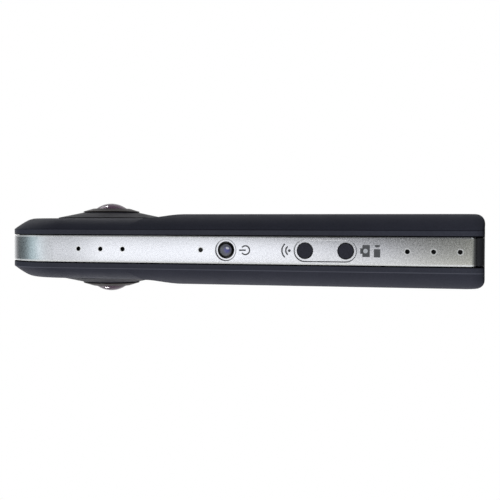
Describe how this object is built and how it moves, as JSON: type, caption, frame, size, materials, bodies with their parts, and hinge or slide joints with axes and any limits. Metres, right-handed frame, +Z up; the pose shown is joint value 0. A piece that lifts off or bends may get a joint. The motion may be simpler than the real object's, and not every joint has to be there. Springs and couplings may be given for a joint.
{
  "type": "360 degree camera",
  "caption": "Slim upright camera with a fisheye lens on each face, a metal side band with press keys, a shutter key on the front and a tripod socket in the base.",
  "frame": {"origin": "centre of the flat base, on the axis of the tripod socket", "axes": "+Z up along the body to the lens end; +X to the side with the keys; +Y along the lens axis to the rear, so the shutter key faces -Y"},
  "size_m": [0.0452, 0.025, 0.1306],
  "materials": {
    "shell": "fine matte texture",
    "band": "fine blasted, clear coated",
    "base": "matte",
    "ring": "satin black",
    "bezel": "satin black",
    "dome": "coated glass",
    "barrel": "matte black",
    "optics": "polished glass",
    "sensor": "dark glass face",
    "board": "green solder mask",
    "flex": "amber film",
    "casting": "as cast",
    "steel": "plated",
    "brass": "nickel plated",
    "insulator": "moulded",
    "mesh": "woven",
    "power_key": "gloss",
    "key": "matte",
    "lamp": "lamp chip",
    "light_pipe": "clear acrylic, unlit",
    "trim": "satin",
    "window": "smoked",
    "chip": "moulded",
    "can": "tinned",
    "spreader": "copper colour",
    "cell": "foil",
    "copper": "copper colour"
  },
  "bodies": {
    "camera": {"front_shell": "shell", "rear_shell": "shell", "side_band": "band", "base_cap": "base", "front_lens_ring": "ring", "rear_lens_ring": "ring", "front_lens_bezel": "bezel", "rear_lens_bezel": "bezel", "front_dome_lens": "dome", "rear_dome_lens": "dome", "front_lens_barrel": "barrel", "rear_lens_barrel": "barrel", "front_inner_lens": "optics", "rear_inner_lens": "optics", "front_prism": "optics", "rear_prism": "optics", "front_relay_lens": "optics", "rear_relay_lens": "optics", "front_image_sensor": "sensor", "rear_image_sensor": "sensor", "front_sensor_board": "board", "rear_sensor_board": "board", "front_sensor_flex": "flex", "rear_sensor_flex": "flex", "lens_frame": "casting", "lens_frame_screws": "steel", "mid_frame": "casting", "tripod_insert": "brass", "base_screws": "steel", "usb_socket": "steel", "usb_tongue": "insulator", "audio_jack": "insulator", "speaker": "insulator", "speaker_mesh": "mesh", "microphone_mesh": "mesh", "microphone_board": "board", "key_board": "board", "key_switches": "insulator", "status_lamp": "lamp", "status_light_pipe": "light_pipe", "shutter_switch": "insulator", "shutter_board": "board", "shutter_ring": "trim", "lamp_window": "window", "main_board": "board", "board_screws": "steel", "processor": "chip", "memory_chip": "chip", "wireless_module": "can", "heat_spreader": "spreader", "sensor_connectors": "insulator", "battery": "cell", "battery_flex": "flex", "key_flex": "flex", "antenna_carrier": "insulator", "antenna": "copper"},
    "power_button": {"power_button": "power_key"},
    "wireless_button": {"wireless_button": "key"},
    "mode_button": {"mode_button": "key"},
    "shutter_button": {"shutter_button": "key"}
  },
  "joints": [
    {"name": "power_press", "type": "slide", "parent": "camera", "child": "power_button", "axis": [-1, 0, 0], "range_m": [0, 0.0003], "stiffness_N_per_m": 600},
    {"name": "wireless_press", "type": "slide", "parent": "camera", "child": "wireless_button", "axis": [-1, 0, 0], "range_m": [0, 0.0003], "stiffness_N_per_m": 600},
    {"name": "mode_press", "type": "slide", "parent": "camera", "child": "mode_button", "axis": [-1, 0, 0], "range_m": [0, 0.0003], "stiffness_N_per_m": 600},
    {"name": "shutter_press", "type": "slide", "parent": "camera", "child": "shutter_button", "axis": [0, 1, 0], "range_m": [0, 0.0004], "stiffness_N_per_m": 600}
  ]
}
